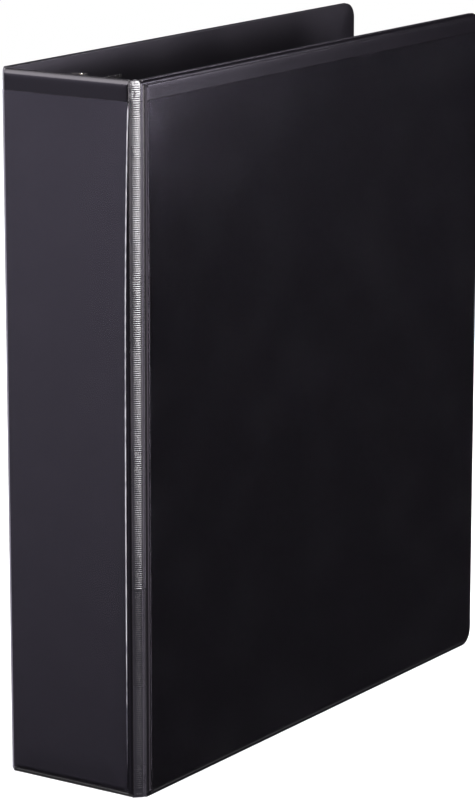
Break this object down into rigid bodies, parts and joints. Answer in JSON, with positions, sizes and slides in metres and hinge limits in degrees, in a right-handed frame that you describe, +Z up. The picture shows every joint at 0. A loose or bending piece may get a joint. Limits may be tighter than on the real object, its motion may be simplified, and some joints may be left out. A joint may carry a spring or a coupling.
{
  "type": "three-ring view binder",
  "caption": "Letter-size view binder: two hinged covers and a spine in black vinyl with clear outer pockets, and a D-ring mechanism on the back cover that opens by levers.",
  "frame": {"origin": "on the ground at the middle of the closed, standing binder's box", "axes": "+Z up along the binder's height, -Y out of the spine, +X out of the front cover"},
  "size_m": [0.0718, 0.267, 0.2953],
  "materials": {
    "vinyl_skin": "black vinyl, faint grain, satin",
    "vinyl_liner": "black vinyl, fine grain, matte",
    "vinyl_pocket": "black vinyl sheet, fine grain, matte",
    "greyboard": "grey chipboard",
    "clear_film": "clear polypropylene film, soft gloss",
    "welded_crease": "black vinyl, ribbed weld",
    "steel": "zinc-plated spring steel",
    "nickel_plate": "bright nickel plate"
  },
  "bodies": {
    "back_cover": {"back_outer_skin": "vinyl_skin", "back_board": "greyboard", "back_inner_liner": "vinyl_liner", "back_clear_overlay": "clear_film", "back_inner_pocket": "vinyl_pocket", "ring_housing": "nickel_plate", "top_rivet": "nickel_plate", "bottom_rivet": "nickel_plate", "top_rivet_post": "steel", "bottom_rivet_post": "steel", "top_trigger_pin": "steel", "bottom_trigger_pin": "steel"},
    "spine": {"spine_outer_skin": "vinyl_skin", "spine_board": "greyboard", "spine_inner_liner": "vinyl_liner", "spine_clear_overlay": "clear_film", "front_crease": "welded_crease", "back_crease": "welded_crease"},
    "front_cover": {"front_outer_skin": "vinyl_skin", "front_board": "greyboard", "front_inner_liner": "vinyl_liner", "front_clear_overlay": "clear_film", "front_inner_pocket": "vinyl_pocket"},
    "curved_side": {"curved_side_blade": "steel", "curved_ring_top": "nickel_plate", "curved_ring_middle": "nickel_plate", "curved_ring_bottom": "nickel_plate"},
    "straight_side": {"straight_side_blade": "steel", "straight_ring_top": "nickel_plate", "straight_ring_middle": "nickel_plate", "straight_ring_bottom": "nickel_plate"},
    "top_trigger_lever": {"top_trigger": "nickel_plate"},
    "bottom_trigger_lever": {"bottom_trigger": "nickel_plate"}
  },
  "joints": [
    {"name": "spine_crease", "type": "hinge", "parent": "back_cover", "child": "spine", "pos_m": [-0.03304, -0.13197, 0], "axis": [0, 0, -1], "range_deg": [0, 180]},
    {"name": "front_cover_crease", "type": "hinge", "parent": "spine", "child": "front_cover", "pos_m": [0.0344, -0.13197, 0], "axis": [0, 0, -1], "range_deg": [0, 180]},
    {"name": "curved_side_open", "type": "hinge", "parent": "back_cover", "child": "curved_side", "pos_m": [-0.02857, -0.1055, 0.14765], "axis": [0, 0, -1], "range_deg": [0, 12]},
    {"name": "straight_side_open", "type": "hinge", "parent": "back_cover", "child": "straight_side", "pos_m": [-0.02857, -0.0809, 0.14765], "axis": [0, 0, 1], "range_deg": [0, 12]},
    {"name": "top_trigger_turn", "type": "hinge", "parent": "back_cover", "child": "top_trigger_lever", "pos_m": [-0.02828, -0.0932, 0.2838], "axis": [0, -1, 0], "range_deg": [0, 26]},
    {"name": "bottom_trigger_turn", "type": "hinge", "parent": "back_cover", "child": "bottom_trigger_lever", "pos_m": [-0.02828, -0.0932, 0.0115], "axis": [0, 1, 0], "range_deg": [0, 26]}
  ],
  "couplings": [
    {"joint": "straight_side_open", "follows": "curved_side_open", "ratio": 1},
    {"joint": "top_trigger_turn", "follows": "curved_side_open", "ratio": 2.1666},
    {"joint": "bottom_trigger_turn", "follows": "curved_side_open", "ratio": 2.1666}
  ]
}
